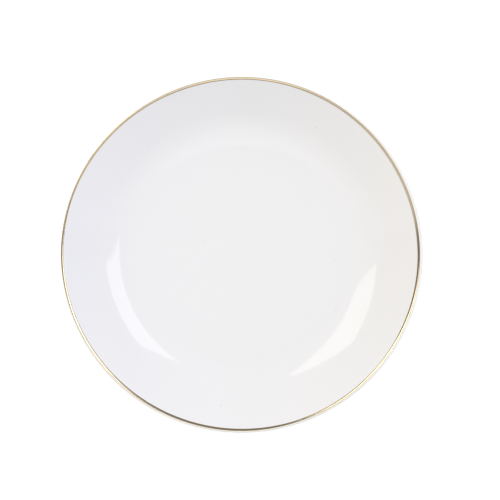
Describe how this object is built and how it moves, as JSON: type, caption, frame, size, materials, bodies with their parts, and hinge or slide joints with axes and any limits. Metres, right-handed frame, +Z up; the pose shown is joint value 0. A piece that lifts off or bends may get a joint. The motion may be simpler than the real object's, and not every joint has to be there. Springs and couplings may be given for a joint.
{
  "type": "dinner plate",
  "caption": "Round rimless coupe plate of white glazed porcelain with a fine gilded lip, a broad shallow well and a bare foot ring, for serving a meal.",
  "frame": {"origin": "on the plate's axis, in the plane that the foot ring stands on", "axes": "+Z up along the plate's axis, out of the well; X and Y lie in the resting plane, and the plate is the same all round"},
  "size_m": [0.27, 0.27, 0.0286],
  "materials": {
    "bisque": "vitrified and unglazed, fine matt grain, polished smooth where it stands",
    "glaze": "clear high-gloss glaze over white clay",
    "gold": "bright fired gold, lightly burnished by hand"
  },
  "bodies": {
    "root": {"porcelain_body": "bisque", "outer_glaze": "glaze", "recess_glaze": "glaze", "gold_rim_band": "gold"}
  },
  "joints": []
}
